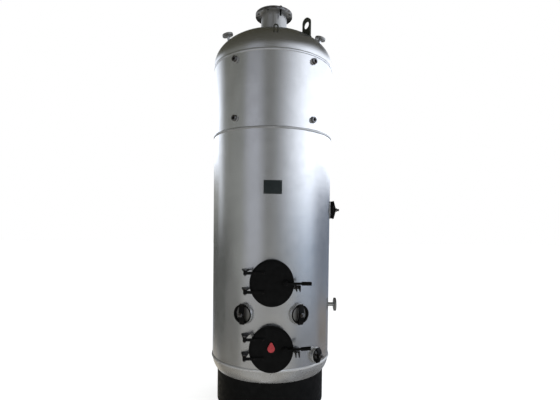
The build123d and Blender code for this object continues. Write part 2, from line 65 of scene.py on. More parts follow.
# Weld beads: half width along the plate and height over it
SEAM_BEAD = (0.0100, 0.0042)
HEAD_BEAD = (0.0100, 0.0030)
FOOT_BEAD = (0.0105, 0.0068)
FILLET_BEAD = (0.0065, 0.0065)
SMALL_FILLET_BEAD = (0.0045, 0.0045)
RIPPLE_LENGTH = 0.008
RIPPLE_DEPTH_SHARE = 0.12
BEAD_WANDER_SHARE = 0.15
SAMPLES_PER_RIPPLE = 4
SAMPLES_PER_WANDER = 24
LEAST_SAMPLES = 8
BEAD_SIDES = 10
BEAD_SINK = 0.0005
BASE_WELD_DROP = 0.001
UPRIGHT_BEAD_SHARE = 0.6
LUG_WELD_SHARES = (0.0, 0.25, 0.5, 0.75, 1.0)
REAR_SEAM_AZIMUTHS = {"lower": 150.0, "upper": 205.0}

# Points of the lines that the beads follow
SEAM_POINTS = 180
WIDE_RING_POINTS = 120
RING_POINTS = 72
NOZZLE_POINTS = 64
SMALL_RING_POINTS = 48

# Rounded edges of the ironwork
EDGE_ROUND = 0.0015
RIM_ROUND = 0.0055
EDGE_ANGLE = 32.0
EDGE_SEGMENTS = 2
EDGE_PROFILE = 0.6
FLAT_ANGLE = 0.4
MERGE_DISTANCE = 2e-5

# Faces that are painted apart, by the cosine between their normal and a way: the rim and the rounding of a
# handhole ring against the outward way, the flat faces of the flue flange against the upward way
RIM_COSINE = 0.85
ROUND_COSINE = 0.3
FLAT_COSINE = 0.5

# A handhole ring past this share of the shell's radius on the right is the one at the side
SIDE_RING_SHARE = 0.9

# Bare steel on the flue flange starts this far inside its bolt holes
BARE_EDGE_MM = 1

# Rivets
RIVET_RADIUS = 0.0075
RIVET_HEIGHT = 0.0042
LABEL_RIVET_RADIUS = 0.0032
LABEL_RIVET_HEIGHT = 0.0018
LABEL_RIVET_INSET = 0.010
STRAP_RIVET_SHARES = (0.52, 0.92)
RIVET_RINGS = 4
RIVET_SIDES = 16

# The bolt that hangs in the flue flange
FLUE_BOLT_AZIMUTH = 22.5
FLUE_BOLT_RADIUS = 0.0078
FLUE_BOLT_LENGTH = 0.068
FLUE_BOLT_HEAD_RADIUS = 0.0138
FLUE_BOLT_HEAD_HEIGHT = 0.0095
FLUE_BOLT_CHAMFER = 0.002
FLUE_BOLT_LIFT = 0.0003
FLUE_BOLT_FLATS = 6
FLUE_BOLT_SIDES = 24

# Grime on the silver paint: heights between which it fades upwards, how far left the painted shade on the
# left side is full, and how much rougher the grime makes the paint
GRIME_HEIGHTS = (0.80, 0.30)
LEFT_PAINTED_SHADE_REACH = -0.45
GRIME_DULLING = 0.25

# Painted shade under the flue flange: from clean to black along Y, how far its edge wanders, and its greatest
# share
FLANGE_SHADE_REACH = (-0.035, 0.015)
FLANGE_SHADE_WANDER = 0.02
FLANGE_SHADE_SHARE = 0.92

# Black paint: how dark its darker patches are, its reflection, its fine grain to its coarse one, and how much
# rougher dust makes it
BLACK_DARK_SHARE = 0.57
BLACK_SPECULAR = 0.10
FINE_GRAIN = 6
DUST_DULLING = 0.6

# Metallic shares of the other metals
THIN_SILVER_METAL = 0.80
OILED_STEEL_METAL = 0.85
ANODISED_METAL = 0.35

# Colours
WHITE = (1.0, 1.0, 1.0)
PAINT_RUN = (0.42, 0.40, 0.36)
GRIME = (0.30, 0.25, 0.18)
# Painted shade that darkens a silver paint towards the left
LEFT_PAINTED_SHADE = (0.08, 0.078, 0.07)
THIN_SILVER = ((0.42, 0.42, 0.405), (0.27, 0.265, 0.25))
# Painted shade on the back of the flue flange's underside
FLANGE_PAINTED_SHADE = (0.020, 0.020, 0.019)
BLACK = (0.0044, 0.0045, 0.0044)
OLIVE = (0.045, 0.047, 0.036)
DUST = (0.018, 0.018, 0.0175)
WORN_IRON = ((0.16, 0.15, 0.14), (0.10, 0.045, 0.02))
SCALE_RUST = ((0.10, 0.045, 0.022), (0.20, 0.095, 0.045))
SCALE = (0.020, 0.018, 0.017)
FURNACE_SOOT = (0.012, 0.012, 0.012)
CASTING = ((0.030, 0.028, 0.027), (0.075, 0.062, 0.052))
ASH = (0.34, 0.33, 0.31)
OILED_STEEL = ((0.20, 0.20, 0.205), (0.075, 0.058, 0.045))
ANODISED = ((0.010, 0.0155, 0.016), (0.022, 0.030, 0.031))
SCRATCH = (0.10, 0.105, 0.105)
RED = ((0.52, 0.040, 0.048), (0.40, 0.028, 0.036))
RED_CHIP = (0.05, 0.035, 0.03)

# Silver paints: light and dark colour, least and greatest roughness, share of grime low down, metallic share,
# share of painted shade on the left
SILVER_PAINTS = {
    "silver_paint": ((0.66, 0.665, 0.67), (0.60, 0.605, 0.61), 0.19, 0.25, 0.18, 0.88, 0.0),
    "dull_silver": ((0.38, 0.375, 0.36), (0.24, 0.235, 0.22), 0.30, 0.46, 0.40, 0.88, 0.0),
    "weld_paint": ((0.54, 0.54, 0.535), (0.40, 0.40, 0.39), 0.28, 0.40, 0.30, 0.80, 0.0),
    "knuckle_paint": ((0.58, 0.58, 0.575), (0.50, 0.50, 0.49), 0.22, 0.30, 0.18, 0.72, 0.0),
    "thick_paint": ((0.72, 0.72, 0.71), (0.64, 0.64, 0.63), 0.28, 0.40, 0.15, 0.55, 0.0),
    # The foot weld's paint, with painted shade on its left
    "foot_paint": ((0.76, 0.76, 0.76), (0.68, 0.68, 0.68), 0.26, 0.38, 0.12, 0.55, 0.40),
}

# Black paints: colour, least and greatest roughness, grain in cycles per metre, share of wear at the edges
BLACK_PAINTS = {
    "black_paint": (BLACK, 0.36, 0.52, 120.0, 0.8),
    "black_iron": (BLACK, 0.40, 0.58, 70.0, 0.0),
    "base_paint": (BLACK, 0.42, 0.60, 60.0, 0.0),
    "olive_paint": (OLIVE, 0.42, 0.60, 90.0, 0.4),
}

# Nodes that have another paint than their slot's
PAINT_OF_NODE = {
    "base_skirt": "base_paint",
    "bottom_knuckle": "knuckle_paint",
    # Painted shade: the flue tube gets the darker weld silver
    "flue_tube": "weld_paint",
    # Painted shade towards the back of the flange's underside
    "flue_flange": "shaded_flange_paint",
    "left_head_nozzle_flange": "dull_silver",
    "right_head_nozzle_flange": "dull_silver",
    "side_nozzle_flange": "dull_silver",
    # Painted shade: the covers sit recessed in the rings and get the darker silver
    "handhole_covers": "dull_silver",
    # Painted shade: the gauge sockets get darker steel
    "gauge_sockets": "bright_steel",
    "lifting_lugs": "olive_paint",
    "lifting_eye": "olive_paint",
}

# Nodes whose edges are rounded, each by how much
ROUND_OF_NODE = {node_name: EDGE_ROUND for node_name in (
    "flue_flange", "left_head_nozzle_flange", "right_head_nozzle_flange", "side_nozzle_flange",
    "lifting_lugs", "gauge_sockets", "handhole_covers", "handhole_yokes", "handhole_studs", "label_plate",
    "upper_door_straps", "lower_door_straps", "upper_hinge_brackets", "lower_hinge_brackets",
    "upper_hinge_pins", "lower_hinge_pins", "upper_latch_keeper", "lower_latch_keeper",
    "upper_latch_bolt", "lower_latch_bolt", "upper_latch_lever", "lower_latch_lever",
    "sight_cover", "sight_cover_bolt", "upper_mouth_ring", "lower_mouth_ring")}
ROUND_OF_NODE["handhole_rings"] = RIM_ROUND

# Sockets of the Mix node for colours
MIX_SHARE, MIX_FIRST, MIX_SECOND, MIX_RESULT = 0, 6, 7, 2

nodes = frame["nodes"]
record = frame["record"]
mounts = {mount["name"]: mount for mount in record["mounts"]}
slot_of_node = {part["node"]: part["material_slot"] for part in record["subparts"]}
body_of_node = {node: body for body, members in record["behaviour"]["bodies"].items() for node in members}

shell_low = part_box("lower_shell_left")[0].z
girth_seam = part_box("upper_shell_rear")[0].z
head_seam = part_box("upper_shell_rear")[1].z
shell_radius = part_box("upper_shell_rear")[1].y
base_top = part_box("base_skirt")[1].z
base_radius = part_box("base_skirt")[1].y
head_tangent = head_seam + HEAD_STRAIGHT
flue_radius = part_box("flue_tube")[1].x
door_heights = {name: sum(corner.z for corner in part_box(f"{name}_door")) / 2 for name in ("upper", "lower")}


# Node trees

def node(tree, kind, inputs=None, **settings):
    """A shader node with its settings, whose inputs are values or other nodes' sockets."""
    made = tree.nodes.new("ShaderNode" + kind)
    for name, value in settings.items():
        setattr(made, name, value)
    for name, value in (inputs or {}).items():
        if isinstance(value, bpy.types.NodeSocket):
            tree.links.new(value, made.inputs[name])
        else:
            made.inputs[name].default_value = value
    return made


def math_node(tree, operation, *values):
    return node(tree, "Math", dict(enumerate(values)), operation=operation).outputs[0]


def smooth_step(tree, value, low, high, to_low=0.0, to_high=1.0):
    """A value that passes softly from one to another while a socket's value passes from low to high."""
    inputs = {"Value": value, "From Min": low, "From Max": high, "To Min": to_low, "To Max": to_high}
    return node(tree, "MapRange", inputs, interpolation_type="SMOOTHSTEP").outputs["Result"]


def mix_colour(tree, share, first, second):
    first, second = (value if isinstance(value, bpy.types.NodeSocket) else (*value, 1.0)
                     for value in (first, second))
    inputs = {MIX_SHARE: share, MIX_FIRST: first, MIX_SECOND: second}
    return node(tree, "Mix", inputs, data_type="RGBA").outputs[MIX_RESULT]


def noise(tree, place, scale, detail, stretch=(1.0, 1.0, 1.0), rough=0.55):
    """A noise over an object's own coordinates, in cycles per metre, stretched by axis."""
    moved = node(tree, "Mapping", {"Vector": place, "Scale": stretch})
    inputs = {"Vector": moved.outputs[0], "Scale": scale, "Detail": detail, "Roughness": rough}
    return node(tree, "TexNoise", inputs).outputs["Fac"]


def bump(tree, height, distance, strength, under=None):
    """A normal that makes a surface look raised by up to a distance, over another such normal or none."""
    inputs = {"Height": height, "Distance": distance, "Strength": strength}
    if under is not None:
        inputs["Normal"] = under
    return node(tree, "Bump", inputs).outputs["Normal"]


def start_material(name):
    """A new material with its tree, its surface shader and its object coordinates."""
    material = bpy.data.materials.new(name)
    material.use_nodes = True
    tree = material.node_tree
    shader = tree.nodes["Principled BSDF"]
    place = tree.nodes.new("ShaderNodeTexCoord").outputs["Object"]
    return material, tree, shader, place


def part_of(tree, vector, axis):
    return node(tree, "SeparateXYZ", {0: vector}).outputs[axis]


# Materials

def silver_paint(name, light, dark, rough_low, rough_high, grime_share, metal, left_shade_share):
    """Brushed-on aluminium paint: soft flow marks, faint runs, grime that gathers low down, and painted shade
    that darkens the left side.
    """
    material, tree, shader, place = start_material(name)
    mottle = smooth_step(tree, noise(tree, place, scale=5.0, detail=6.0), 0.30, 0.72)
    colour = mix_colour(tree, mottle, light, dark)
    streaks = noise(tree, place, scale=9.0, detail=3.0, stretch=(1.0, 1.0, 0.07))
    runs = smooth_step(tree, streaks, 0.56, 0.80, to_high=0.22)
    colour = mix_colour(tree, runs, colour, PAINT_RUN)
    blots = noise(tree, place, scale=7.0, detail=8.0, stretch=(1.0, 1.0, 0.6))
    patches = smooth_step(tree, blots, 0.36, 0.66)
    low_down = smooth_step(tree, part_of(tree, place, "Z"), *GRIME_HEIGHTS)
    grime = math_node(tree, "MULTIPLY", math_node(tree, "MULTIPLY", patches, low_down), grime_share)
    colour = mix_colour(tree, grime, colour, GRIME)
    # Painted shade: the paint darkens towards the left
    if left_shade_share:
        left = smooth_step(tree, part_of(tree, place, "X"), 0.0, LEFT_PAINTED_SHADE_REACH, to_high=left_shade_share)
        colour = mix_colour(tree, left, colour, LEFT_PAINTED_SHADE)
    tree.links.new(colour, shader.inputs["Base Color"])
    uneven = noise(tree, place, scale=16.0, detail=5.0)
    gloss = smooth_step(tree, uneven, 0.30, 0.70, rough_low, rough_high)
    dulled = math_node(tree, "MULTIPLY", grime, GRIME_DULLING)
    tree.links.new(math_node(tree, "ADD", gloss, dulled), shader.inputs["Roughness"])
    shader.inputs["Metallic"].default_value = metal
    plate = bump(tree, noise(tree, place, scale=2.6, detail=2.0), distance=0.0022, strength=0.8)
    strokes = noise(tree, place, scale=1.0, detail=2.0, stretch=(4.0, 4.0, 65.0))
    brushed = bump(tree, strokes, distance=0.0004, strength=0.5, under=plate)
    tree.links.new(brushed, shader.inputs["Normal"])
    return material


def shaded_flange_paint():
    """Thin silver paint on the underside of the flue flange, with painted shade that blackens it towards the
    back.
    """
    material, tree, shader, place = start_material("shaded_flange_paint")
    mottle = smooth_step(tree, noise(tree, place, scale=18.0, detail=6.0), 0.32, 0.68)
    colour = mix_colour(tree, mottle, *THIN_SILVER)
    uneven = noise(tree, place, scale=24.0, detail=5.0)
    # Painted shade: the underside turns black towards the back, along an uneven edge
    wander = smooth_step(tree, uneven, 0.3, 0.7, -FLANGE_SHADE_WANDER, FLANGE_SHADE_WANDER)
    backwards = math_node(tree, "ADD", part_of(tree, place, "Y"), wander)
    darkening = smooth_step(tree, backwards, *FLANGE_SHADE_REACH, to_high=FLANGE_SHADE_SHARE)
    tree.links.new(mix_colour(tree, darkening, colour, FLANGE_PAINTED_SHADE), shader.inputs["Base Color"])
    tree.links.new(smooth_step(tree, darkening, 0.0, FLANGE_SHADE_SHARE, 0.30, 0.55), shader.inputs["Roughness"])
    shader.inputs["Metallic"].default_value = THIN_SILVER_METAL
    grain = bump(tree, noise(tree, place, scale=90.0, detail=4.0), distance=0.0004, strength=0.4)
    tree.links.new(grain, shader.inputs["Normal"])
    return material


def black_paint(name, light, rough_low, rough_high, grain, wear_share):
    """Black paint over iron: uneven gloss, dust in the hollows, bare metal and rust at the worn edges."""
    material, tree, shader, place = start_material(name)
    mottle = smooth_step(tree, noise(tree, place, scale=22.0, detail=6.0), 0.32, 0.70)
    colour = mix_colour(tree, mottle, tuple(BLACK_DARK_SHARE * part for part in light), light)
    dust = smooth_step(tree, noise(tree, place, scale=11.0, detail=8.0, rough=0.65), 0.55, 0.78, to_high=0.10)
    colour = mix_colour(tree, dust, colour, DUST)
    edges = smooth_step(tree, node(tree, "NewGeometry").outputs["Pointiness"], 0.54, 0.62)
    broken = smooth_step(tree, noise(tree, place, scale=90.0, detail=6.0, rough=0.7), 0.47, 0.60)
    wear = math_node(tree, "MULTIPLY", math_node(tree, "MULTIPLY", edges, broken), wear_share)
    worn = mix_colour(tree, noise(tree, place, scale=140.0, detail=3.0), *WORN_IRON)
    tree.links.new(mix_colour(tree, wear, colour, worn), shader.inputs["Base Color"])
    uneven = noise(tree, place, scale=30.0, detail=5.0)
    gloss = smooth_step(tree, uneven, 0.30, 0.70, rough_low, rough_high)
    dulled = math_node(tree, "MULTIPLY", dust, DUST_DULLING)
    tree.links.new(math_node(tree, "ADD", gloss, dulled), shader.inputs["Roughness"])
    shader.inputs["Specular IOR Level"].default_value = BLACK_SPECULAR
    coarse = bump(tree, noise(tree, place, scale=grain, detail=5.0, rough=0.6), distance=0.0008, strength=0.5)
    small = noise(tree, place, scale=FINE_GRAIN * grain, detail=2.0)
    fine = bump(tree, small, distance=0.0002, strength=0.4, under=coarse)
    tree.links.new(fine, shader.inputs["Normal"])
    return material


def furnace_steel():
    """Heated plate: soot over scale, with rust where it has flaked."""
    material, tree, shader, place = start_material("furnace_steel")
    flakes = smooth_step(tree, noise(tree, place, scale=14.0, detail=8.0, rough=0.68), 0.46, 0.64)
    rust = mix_colour(tree, noise(tree, place, scale=60.0, detail=5.0), *SCALE_RUST)
    colour = mix_colour(tree, flakes, SCALE, rust)
    darkening = smooth_step(tree, noise(tree, place, scale=3.5, detail=4.0), 0.35, 0.62, 0.25, 0.85)
    tree.links.new(mix_colour(tree, darkening, colour, FURNACE_SOOT), shader.inputs["Base Color"])
    tree.links.new(smooth_step(tree, flakes, 0.0, 1.0, 0.72, 0.92), shader.inputs["Roughness"])
    flaked = bump(tree, flakes, distance=0.0012, strength=0.6)
    small = noise(tree, place, scale=240.0, detail=4.0)
    grain = bump(tree, small, distance=0.0005, strength=0.5, under=flaked)
    tree.links.new(grain, shader.inputs["Normal"])
    return material


def grate_iron():
    """A rough casting, burnt grey, with ash on its top."""
    material, tree, shader, place = start_material("grate_iron")
    mottle = noise(tree, place, scale=35.0, detail=7.0, rough=0.65)
    colour = mix_colour(tree, mottle, *CASTING)
    up = part_of(tree, node(tree, "NewGeometry").outputs["Normal"], "Z")
    patches = smooth_step(tree, noise(tree, place, scale=18.0, detail=6.0), 0.42, 0.66, to_high=0.65)
    ash = math_node(tree, "MULTIPLY", smooth_step(tree, up, 0.6, 0.95), patches)
    tree.links.new(mix_colour(tree, ash, colour, ASH), shader.inputs["Base Color"])
    tree.links.new(smooth_step(tree, mottle, 0.3, 0.7, 0.70, 0.92), shader.inputs["Roughness"])
    grain = bump(tree, noise(tree, place, scale=160.0, detail=5.0), distance=0.0010, strength=0.7)
    tree.links.new(grain, shader.inputs["Normal"])
    return material


def bright_steel():
    """Turned steel under old oil, browned in places."""
    material, tree, shader, place = start_material("bright_steel")
    stain = smooth_step(tree, noise(tree, place, scale=45.0, detail=6.0), 0.42, 0.66)
    tree.links.new(mix_colour(tree, stain, *OILED_STEEL), shader.inputs["Base Color"])
    tree.links.new(smooth_step(tree, stain, 0.0, 1.0, 0.32, 0.58), shader.inputs["Roughness"])
    shader.inputs["Metallic"].default_value = OILED_STEEL_METAL
    grain = bump(tree, noise(tree, place, scale=420.0, detail=3.0), distance=0.0003, strength=0.5)
    tree.links.new(grain, shader.inputs["Normal"])
    return material


def label_metal():
    """Dark anodised plate, bare, with fine scratches along it."""
    material, tree, shader, place = start_material("label_metal")
    haze = noise(tree, place, scale=34.0, detail=6.0)
    colour = mix_colour(tree, haze, *ANODISED)
    scratches = noise(tree, place, scale=40.0, detail=5.0, stretch=(0.4, 1.0, 22.0))
    scratched = smooth_step(tree, scratches, 0.62, 0.75, to_high=0.35)
    tree.links.new(mix_colour(tree, scratched, colour, SCRATCH), shader.inputs["Base Color"])
    tree.links.new(smooth_step(tree, haze, 0.3, 0.7, 0.34, 0.50), shader.inputs["Roughness"])
    shader.inputs["Metallic"].default_value = ANODISED_METAL
    tree.links.new(bump(tree, scratches, distance=0.0002, strength=0.4), shader.inputs["Normal"])
    return material


def red_paint():
    """Red gloss, faded in patches, chipped at the edges."""
    material, tree, shader, place = start_material("red_paint")
    fade = noise(tree, place, scale=55.0, detail=5.0)
    colour = mix_colour(tree, smooth_step(tree, fade, 0.3, 0.7), *RED)
    edges = smooth_step(tree, node(tree, "NewGeometry").outputs["Pointiness"], 0.55, 0.63)
    broken = smooth_step(tree, noise(tree, place, scale=160.0, detail=5.0), 0.52, 0.60)
    chips = math_node(tree, "MULTIPLY", edges, broken)
    tree.links.new(mix_colour(tree, chips, colour, RED_CHIP), shader.inputs["Base Color"])
    tree.links.new(smooth_step(tree, fade, 0.3, 0.7, 0.30, 0.46), shader.inputs["Roughness"])
    grain = bump(tree, noise(tree, place, scale=260.0, detail=3.0), distance=0.0003, strength=0.4)
    tree.links.new(grain, shader.inputs["Normal"])
    return material


materials = {name: silver_paint(name, *values) for name, values in SILVER_PAINTS.items()}
materials.update((name, black_paint(name, *values)) for name, values in BLACK_PAINTS.items())
for make in (shaded_flange_paint, furnace_steel, grate_iron, bright_steel, label_metal, red_paint):
    materials[make.__name__] = make()


def paint_of(node_name):
    return materials[PAINT_OF_NODE.get(node_name, slot_of_node[node_name])]


# Pieces

def finish_piece(mesh, name, body, material, replaced=()):
    """The object for a finished mesh: smooth where its faces turn gently, painted, riding on its body."""
    for polygon in mesh.polygons:
        polygon.use_smooth = True
    mesh.set_sharp_from_angle(angle=math.radians(EDGE_ANGLE))
    mesh.materials.clear()
    mesh.materials.append(material)
    piece = bpy.data.objects.new(name, mesh)
    bpy.context.scene.collection.objects.link(piece)
    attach(piece, body)
    if replaced:
        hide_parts(*replaced)
    return piece


def mesh_from(name, vertices, faces):
    mesh = bpy.data.meshes.new(name)
    mesh.from_pydata(vertices, [], faces)
    mesh.update()
    return mesh


def welded_copy(node_name):
    """A node's solids as one mesh whose faces share their corners."""
    form = bmesh.new()
    form.from_mesh(nodes[node_name].data)
    bmesh.ops.remove_doubles(form, verts=form.verts, dist=MERGE_DISTANCE)
    return form


def islands(node_name):
    """The corner points of each separate solid of a node, in the same order each run."""
    form = welded_copy(node_name)
    left = set(form.verts)
    found = []
    for first in form.verts:
        if first not in left:
            continue
        left.discard(first)
        group = []
        todo = [first]
        while todo:
            vertex = todo.pop()
            group.append(vertex.co.copy())
            for edge in vertex.link_edges:
                other = edge.other_vert(vertex)
                if other in left:
                    left.discard(other)
                    todo.append(other)
        found.append(group)
    form.free()
    return found


def corners(points):
    low = Vector([min(point[i] for point in points) for i in range(3)])
    high = Vector([max(point[i] for point in points) for i in range(3)])
    return low, high


def middle(points):
    low, high = corners(points)
    return (low + high) / 2


def half_height(points):
    return (max(point[2] for point in points) - min(point[2] for point in points)) / 2


def round_edges(node_name, width):
    """A node's own shape with its sharp edges rounded, in the node's place."""
    form = welded_copy(node_name)
    bmesh.ops.dissolve_limit(form, angle_limit=math.radians(FLAT_ANGLE), verts=form.verts, edges=form.edges)
    sharp = [edge for edge in form.edges
             if len(edge.link_faces) == 2 and edge.calc_face_angle(0.0) > math.radians(EDGE_ANGLE)]
    bmesh.ops.bevel(form, geom=sharp, offset=width, segments=EDGE_SEGMENTS, profile=EDGE_PROFILE,
                    affect="EDGES", clamp_overlap=True)
    bmesh.ops.triangulate(form, faces=[face for face in form.faces if len(face.verts) > 4])
    mesh = bpy.data.meshes.new(f"{node_name}_rounded")
    form.to_mesh(mesh)
    form.free()
    return finish_piece(mesh, f"{node_name}_rounded", body_of_node[node_name],
                        paint_of(node_name), (node_name,))


def path_samples(points, closed, step):
    """Points at an even spacing along a line of points."""
    ring = points + points[:1] if closed else points
    lengths = [(b - a).length for a, b in zip(ring, ring[1:])]
    total = sum(lengths)
    count = max(LEAST_SAMPLES, round(total / step))
    samples = []
    index = 0
    passed = 0.0
    for i in range(count if closed else count + 1):
        target = total * i / count
        while index < len(lengths) - 1 and passed + lengths[index] < target:
            passed += lengths[index]
            index += 1
        share = (target - passed) / lengths[index]
        samples.append(ring[index].lerp(ring[index + 1], min(1.0, max(0.0, share))))
    return samples


def ring_faces(first, second, sides):
    """The faces between two rings of corners, from the number of each ring's first corner."""
    turns = [(k, (k + 1) % sides) for k in range(sides)]
    return [(first + k, first + n, second + n, second + k) for k, n in turns]


def bead_mesh(lines, size, seed):
    """Rippled beads along lines: each a list of points, the outward way at a point, and closed or not."""
    half_width, height = size
    draw = random.Random(seed)
    vertices = []
    faces = []
    for points, outward, closed in lines:
        samples = path_samples(points, closed, RIPPLE_LENGTH / SAMPLES_PER_RIPPLE)
        count = len(samples)
        first = len(vertices)
        knots = count // SAMPLES_PER_WANDER + 2
        wander = [1.0 + BEAD_WANDER_SHARE * draw.uniform(-1, 1) for _ in range(knots)]
        for i, place in enumerate(samples):
            before = samples[i - 1] if closed or i else place
            after = samples[(i + 1) % count] if closed or i < count - 1 else place
            along = (after - before).normalized()
            out = outward(place)
            side = along.cross(out).normalized()
            out = side.cross(along)
            knot, share = divmod(i / SAMPLES_PER_WANDER, 1.0)
            swell = wander[int(knot)] * (1 - share) + wander[int(knot) + 1] * share
            swell *= 1.0 + RIPPLE_DEPTH_SHARE * math.cos(2 * math.pi * i / SAMPLES_PER_RIPPLE)
            for k in range(BEAD_SIDES):
                turn = 2 * math.pi * k / BEAD_SIDES
                reach = half_width * math.cos(turn) * side + height * math.sin(turn) * out
                vertices.append(place + swell * reach)
        rings = count if closed else count - 1
        for i in range(rings):
            faces += ring_faces(first + i * BEAD_SIDES, first + ((i + 1) % count) * BEAD_SIDES, BEAD_SIDES)
        if not closed:
            last = first + (count - 1) * BEAD_SIDES
            faces.append(tuple(first + k for k in reversed(range(BEAD_SIDES))))
            faces.append(tuple(last + k for k in range(BEAD_SIDES)))
    form = bmesh.new()
    mesh = mesh_from("bead", vertices, faces)
    form.from_mesh(mesh)
    bmesh.ops.recalc_face_normals(form, faces=form.faces)
    form.to_mesh(mesh)
    form.free()
    return mesh


def weld(name, lines, size, paint="weld_paint"):
    """Beads of weld as one piece, with a seed for their ripples from its name."""
    seed = sum(ord(letter) for letter in name)
    mesh = bead_mesh(lines, size, seed)
    mesh.name = name
    finish_piece(mesh, name, "boiler", materials[paint])


def from_axis(place):
    return Vector((place.x, place.y, 0.0)).normalized()


def circle(radius, height):
    turns = [2 * math.pi * i / SEAM_POINTS for i in range(SEAM_POINTS)]
    return [Vector((radius * math.sin(t), -radius * math.cos(t), height)) for t in turns]


def shell_line(azimuth, low, high):
    turn = math.radians(azimuth)
    return [Vector((shell_radius * math.sin(turn), -shell_radius * math.cos(turn), z)) for z in (low, high)]


def ring_on_shell(centre, half_width, half_rise, count=RING_POINTS):
    """The line where an upright oval tube, pointing at the shell's axis, meets the shell."""
    outward = from_axis(centre)
    sideways = Vector((-outward.y, outward.x, 0.0))
    line = []
    for i in range(count):
        turn = 2 * math.pi * i / count
        across = half_width * math.cos(turn)
        reach = math.sqrt(shell_radius ** 2 - across ** 2)
        place = outward * reach + sideways * across
        line.append(Vector((place.x, place.y, centre.z + half_rise * math.sin(turn))))
    return line


def head_normal(place):
    return Vector((place.x / shell_radius ** 2, place.y / shell_radius ** 2,
                   max(0.0, place.z - head_tangent) / HEAD_RISE ** 2)).normalized()


def on_head(start, way):
    """Where a straight line meets the head's outer curve, from outside."""
    scale = Vector((1 / shell_radius, 1 / shell_radius, 1 / HEAD_RISE))
    origin = Vector(s * c for s, c in zip(scale, start - Vector((0, 0, head_tangent))))
    step = Vector(s * c for s, c in zip(scale, way))
    a = step.dot(step)
    b = origin.dot(step)
    c = origin.dot(origin) - 1.0
    return start + way * ((-b + math.sqrt(max(0.0, b * b - a * c))) / a)


def ring_on_head(face, axis, radius, count=NOZZLE_POINTS):
    """The line where a round tube meets the head."""
    sideways = axis.orthogonal().normalized()
    upward = axis.cross(sideways)
    turns = [2 * math.pi * i / count for i in range(count)]
    return [on_head(face + radius * (math.cos(t) * sideways + math.sin(t) * upward), axis) for t in turns]


def seam_welds():
    """The three seams round the shell, the weld on the base, and the plates' upright seams at the back."""
    for name, height, size, paint in (("girth_weld", girth_seam, SEAM_BEAD, "weld_paint"),
                                      ("head_weld", head_seam, HEAD_BEAD, "silver_paint"),
                                      ("foot_weld", shell_low, FOOT_BEAD, "foot_paint")):
        weld(name, [(circle(shell_radius - BEAD_SINK, height), from_axis, True)], size, paint)
    lines = [(shell_line(REAR_SEAM_AZIMUTHS["lower"], shell_low, girth_seam), from_axis, False),
             (shell_line(REAR_SEAM_AZIMUTHS["upper"], girth_seam, head_seam), from_axis, False)]
    weld("upright_seam_welds", lines, (SEAM_BEAD[0], UPRIGHT_BEAD_SHARE * SEAM_BEAD[1]))
    weld("base_weld", [(circle(base_radius, base_top - BASE_WELD_DROP), from_axis, True)], SMALL_FILLET_BEAD,
         "black_paint")


def fitting_welds():
    """Fillet welds round what stands on the shell and the head."""
    lines = []
    for points in islands("handhole_rings"):
        half = half_height(points)
        lines.append((ring_on_shell(middle(points), half, half), from_axis, True))
    weld("handhole_welds", lines, FILLET_BEAD)
    lines = []
    for points in islands("gauge_sockets"):
        half = half_height(points)
        lines.append((ring_on_shell(middle(points), half, half, SMALL_RING_POINTS), from_axis, True))
    weld("socket_welds", lines, SMALL_FILLET_BEAD)
    half = half_height(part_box("side_nozzle_pipe"))
    side_line = ring_on_shell(middle(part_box("side_nozzle_pipe")), half, half, SMALL_RING_POINTS)
    weld("side_nozzle_weld", [(side_line, from_axis, True)], SMALL_FILLET_BEAD)
    lines = []
    for side in ("left", "right"):
        mount = mounts[f"{side}_head_nozzle_bore"]
        face = Vector(mount["pos_m"])
        axis = Vector(mount["axis"])
        radius = max((p - face - axis * axis.dot(p - face)).length
                     for points in islands(f"{side}_head_nozzle_pipe") for p in points)
        lines.append((ring_on_head(face, axis, radius), head_normal, True))
    weld("head_nozzle_welds", lines, SMALL_FILLET_BEAD)
    above = Vector((0, 0, head_tangent + 2 * HEAD_RISE))
    flue_line = ring_on_head(above, Vector((0, 0, 1)), flue_radius, WIDE_RING_POINTS)
    weld("flue_weld", [(flue_line, head_normal, True)], FILLET_BEAD)
    lines = []
    for name, height in door_heights.items():
        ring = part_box(f"{name}_mouth_ring")
        centre = Vector((0.0, -shell_radius, height))
        line = ring_on_shell(centre, ring[1].x, half_height(ring), WIDE_RING_POINTS)
        lines.append((line, from_axis, True))
    weld("mouth_welds", lines, FILLET_BEAD)


def lug_welds():
    """Welds along both faces of each lifting lug's foot."""
    lines = []
    for points in islands("lifting_lugs"):
        centre = middle(points)
        outward = from_axis(centre)
        across = Vector((-outward.y, outward.x, 0.0))
        reaches = [p.dot(outward) for p in points]
        thickness = max(p.dot(across) for p in points) - min(p.dot(across) for p in points)
        for side in (-0.5, 0.5):
            line = []
            for share in LUG_WELD_SHARES:
                reach = min(reaches) * (1 - share) + max(reaches) * share
                start = outward * reach + across * side * thickness
                start.z = head_tangent + 2 * HEAD_RISE
                line.append(on_head(start, Vector((0, 0, 1))))
            lines.append((line, head_normal, False))
    weld("lug_welds", lines, FILLET_BEAD, "olive_paint")


# Rivets

